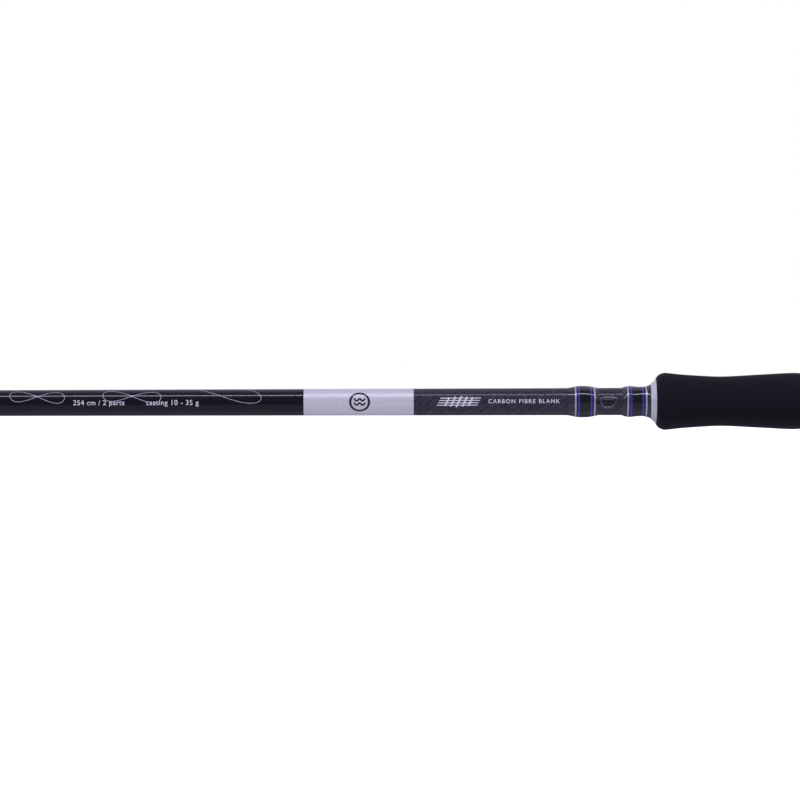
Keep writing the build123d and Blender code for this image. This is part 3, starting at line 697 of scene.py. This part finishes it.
def inkLine(name, u, v, width, centre, height, material):
    # a ribbon of even width along a line of (u, v) points, offset to both sides along the line's normal
    du, dv = np.gradient(u), np.gradient(v)
    size = np.hypot(du, dv)
    across = np.linspace(-0.5, 0.5, 3)[:, None] * width
    points = onBlank(u - across * dv / size, v + across * du / size, centre, height)
    piece = gridMesh(name, points, False, None, False)
    return settle(piece, material, "butt_section", "carbon_blank")


def outwardInk(piece):
    # flips a flat mark whose faces look into the blank
    mesh = piece.data
    mesh.update()
    face = mesh.polygons[len(mesh.polygons) // 2]
    if face.normal.y * face.center.y + face.normal.z * face.center.z < 0:
        mesh.flip_normals()


def wording(name, text, capHeight, spacing, centre, height):
    # letters from the plain built-in face, cut into strips so that they bend smoothly round the blank
    curve = bpy.data.curves.new(name, "FONT")
    curve.body = text
    curve.size = capHeight / 0.7  # capitals are 0.7 of the type size
    curve.offset = ink["bold"]
    curve.space_character = spacing
    curve.align_x = "CENTER"
    curve.resolution_u = 6
    source = bpy.data.objects.new(name + "Source", curve)
    bpy.context.scene.collection.objects.link(source)
    mesh = bpy.data.meshes.new_from_object(source)
    bpy.data.objects.remove(source)
    mesh.materials.clear()
    letters = bmesh.new()
    letters.from_mesh(mesh)
    for cut in np.arange(-capHeight, 2 * capHeight, ink["strip"]):
        everything = letters.verts[:] + letters.edges[:] + letters.faces[:]
        bmesh.ops.bisect_plane(letters, geom=everything, plane_co=(0, cut, 0), plane_no=(0, 1, 0))
    bmesh.ops.triangulate(letters, faces=letters.faces[:])
    letters.to_mesh(mesh)
    letters.free()
    flat = np.zeros(len(mesh.vertices) * 3)
    mesh.vertices.foreach_get("co", flat)
    flat = flat.reshape(-1, 3)
    middle = (flat[:, 0].min() + flat[:, 0].max()) / 2
    bent = onBlank(flat[:, 0] - middle, flat[:, 1] - capHeight / 2, centre, height) * mm
    mesh.vertices.foreach_set("co", bent.ravel())
    piece = bpy.data.objects.new(name, mesh)
    bpy.context.scene.collection.objects.link(piece)
    outwardInk(piece)
    print(name, "is", round(float(np.ptp(flat[:, 0])), 1), "mm long")
    return settle(piece, silverInk, "butt_section", "carbon_blank")


def lineGroup(name, lines, centre, height, material):
    made = []
    for i, (u, v, width) in enumerate(lines):
        made.append(inkLine(f"{name}{i}", u, v, width, centre, height, material))
    piece = joined(name, made)
    outwardInk(piece)
    return piece


# ring's radius and stroke; the waves' half length, height, radians a millimetre, stroke and offsets
badge = {"centre": 636.6, "height": 0.1, "radius": 4.3, "stroke": 1.05, "waveHalf": 2.7, "waveHeight": 0.45,
         "waveTurn": 2.33, "waveStroke": 0.8, "waves": (-1.0, 1.0)}


def roundMark():
    # a plain ring with two cosine waves inside it
    turn = np.linspace(0, 2 * math.pi, 97)
    u = np.linspace(-badge["waveHalf"], badge["waveHalf"], 60)
    wave = badge["waveHeight"] * np.cos(u * badge["waveTurn"])
    lines = [(badge["radius"] * np.cos(turn), badge["radius"] * np.sin(turn), badge["stroke"])]
    lines += [(u, wave + offset, badge["waveStroke"]) for offset in badge["waves"]]
    lineGroup("roundMark", lines, badge["centre"], badge["height"], blackInk)


# bars: half height of the middle one, loss to each side, spacing and stroke; slant is the sideways shift for
# each millimetre up; rows are the level lines' heights
hatch = {"centre": 590.9, "height": 0.15, "bars": 5, "barHalf": 2.6, "loss": 0.3, "spacing": 2.7,
         "barStroke": 0.7, "slant": 0.5, "rows": (-1.65, -0.55, 0.55, 1.65), "rowHalf": 9.4, "rowStroke": 0.4}


def barMark():
    # slanted bars that shorten to both sides, over level lines
    lines = []
    middle = hatch["bars"] // 2
    for i in range(hatch["bars"]):
        reach = hatch["barHalf"] - hatch["loss"] * abs(i - middle)
        v = np.linspace(-reach, reach, 12)
        lines.append((v * hatch["slant"] + (i - middle) * hatch["spacing"], v, hatch["barStroke"]))
    for v in hatch["rows"]:
        u = np.linspace(-hatch["rowHalf"], hatch["rowHalf"], 30)
        lines.append((u + v * hatch["slant"], np.full_like(u, v), hatch["rowStroke"]))
    lineGroup("barMark", lines, hatch["centre"], hatch["height"], silverInk)


# each figure: place along the rod, half length, half height, height round the blank and lean
eights = {"centre": 785.0, "stroke": 0.25,
          "figures": [(0, 12.6, 2.8, 3.0, -0.04), (43.6, 13.4, 2.8, 3.1, -0.04), (70.5, 32.6, 4.0, 9.3, -0.22)]}


def flourish():
    # plain figures of eight lying along the rod: u is a cosine, v a sine of twice the angle, and the whole
    # figure leans a little; the last one is longer and half of it runs over the top
    lines = []
    t = np.linspace(0, 2 * math.pi, 241)
    for along, halfLength, halfHeight, up, lean in eights["figures"]:
        u = halfLength * np.cos(t)
        lines.append((along + u, up + halfHeight * np.sin(2 * t) + lean * u, eights["stroke"]))
    lineGroup("flourish", lines, eights["centre"], 0.0, greyInk)


# text, height of the capitals, letter spacing, centre along the rod and height round it
wordings = {
    "materialWording": ("CARBON FIBRE BLANK", 1.85, 1.26, 560.9, 0.3),
    "lengthWording": ("254 cm / 2 parts", 2.35, 1.06, 756.6, 0.1),
    "weightWording": ("casting 10 - 35 g", 2.35, 1.08, 722.7, 0.1),
}
roundMark()
barMark()
flourish()
for name, line in wordings.items():
    wording(name, *line)
print("printed marks made")

# CAD nodes that stay as they are, with their finishes
kept = {"butt_cap": rubber, "butt_cap_ring": aluminium, "ferrule_ring": aluminium, "nut_ring": aluminium,
        "seat_arbors": urethane, "fixed_hood": hoodNylon, "moving_hood": hoodNylon, "lock_nut": hoodNylon,
        "fixed_hood_liner": steel, "moving_hood_liner": steel, "keeper_frame": darkSteel,
        "keeper_bail": darkSteel, "tip_top_frame": blackChrome, "tip_top_ring": ceramic}
for guide in guideSizes:
    kept[guide + "_frame"] = blackChrome
    kept[guide + "_ring"] = ceramic
for name, material in kept.items():
    nodes[name].data.materials.clear()
    nodes[name].data.materials.append(material)

# sizes and distances in metres, the lens in millimetres and the roll in degrees
studio = {"floorSize": 12.0, "cameraDistance": 1.88, "cameraHeight": 0.00095, "cameraD": 0.618, "lens": 183.3,
          "roll": 0.145, "farClip": 100.0, "air": (0.13, 0.127, 0.162), "tint": (0.93, 0.91, 1.16),
          "lampLength": 8.0, "lampX": -0.7}
# each softbox: name, degrees round the rod from the label side upwards, distance, width in metres,
# brightness, and whether it shows in reflections
softboxes = [("stripLight", 63, 1.1, 0.11, 9.0, True), ("backGlow", 137, 1.4, 2.5, 0.33, True),
             ("floorGlow", -70, 1.2, 2.86, 0.22, True), ("frontFill", -25, 1.9, 2.6, 0.55, False),
             ("backFill", 185, 1.9, 2.6, 0.5, False)]


def floor():
    # a level square at the object's lowest point, bright by itself so that it stays even
    half = studio["floorSize"] / 2
    centre = (cadBox[0][0] + cadBox[1][0]) / 2
    corners = [(centre + x * half, y * half, cadBox[0][2]) for x, y in ((-1, -1), (1, -1), (1, 1), (-1, 1))]
    mesh = bpy.data.meshes.new("floor")
    mesh.from_pydata(corners, [], [(0, 1, 2, 3)])
    piece = bpy.data.objects.new("floor", mesh)
    bpy.context.scene.collection.objects.link(piece)
    paint = {"Base Color": hexColour("f2f2f4"), "Roughness": 0.9, "Emission Color": (1, 1, 1, 1),
             "Emission Strength": 1.0}
    piece.data.materials.append(newMaterial("paleFloor", paint)[0])
    piece.visible_glossy = False
    piece.visible_diffuse = False
    piece.visible_shadow = False


def softbox(name, elevation, distance, width, brightness, mirrored):
    # a long panel parallel to the rod that faces it; its power is brightness times pi times its area
    turn = math.radians(elevation)
    light = bpy.data.lights.new(name, "AREA")
    light.shape = "RECTANGLE"
    light.size = studio["lampLength"]
    light.size_y = width
    light.energy = brightness * math.pi * studio["lampLength"] * width
    light.color = studio["tint"]
    lamp = bpy.data.objects.new(name, light)
    lamp.location = (studio["lampX"], -distance * math.cos(turn), distance * math.sin(turn))
    lamp.rotation_euler = (math.pi / 2 - turn, 0, 0)
    lamp.visible_camera = False
    lamp.visible_glossy = mirrored
    bpy.context.scene.collection.objects.link(lamp)


def airLight():
    # even lavender grey air for light and reflections, plain white where the camera looks past the object
    world = bpy.data.worlds.new("air")
    world.use_nodes = True
    tree = world.node_tree
    tree.nodes.clear()
    dim = addNode(tree, "ShaderNodeBackground", {0: (*studio["air"], 1)})
    white = addNode(tree, "ShaderNodeBackground", {0: (1, 1, 1, 1)})
    path = addNode(tree, "ShaderNodeLightPath").outputs["Is Camera Ray"]
    both = addNode(tree, "ShaderNodeMixShader", {0: path, 1: dim.outputs[0], 2: white.outputs[0]})
    output = addNode(tree, "ShaderNodeOutputWorld")
    tree.links.new(both.outputs[0], output.inputs[0])
    bpy.context.scene.world = world


def camera():
    data = bpy.data.cameras.new("camera")
    data.lens = studio["lens"]
    data.clip_end = studio["farClip"]
    eye = bpy.data.objects.new("camera", data)
    eye.location = (-studio["cameraD"], -studio["cameraDistance"], studio["cameraHeight"])
    eye.rotation_euler = (math.pi / 2, math.radians(studio["roll"]), 0)
    bpy.context.scene.collection.objects.link(eye)
    bpy.context.scene.camera = eye


floor()
airLight()
for box in softboxes:
    softbox(*box)
camera()
bpy.context.scene.view_settings.view_transform = "Standard"
print("studio made")
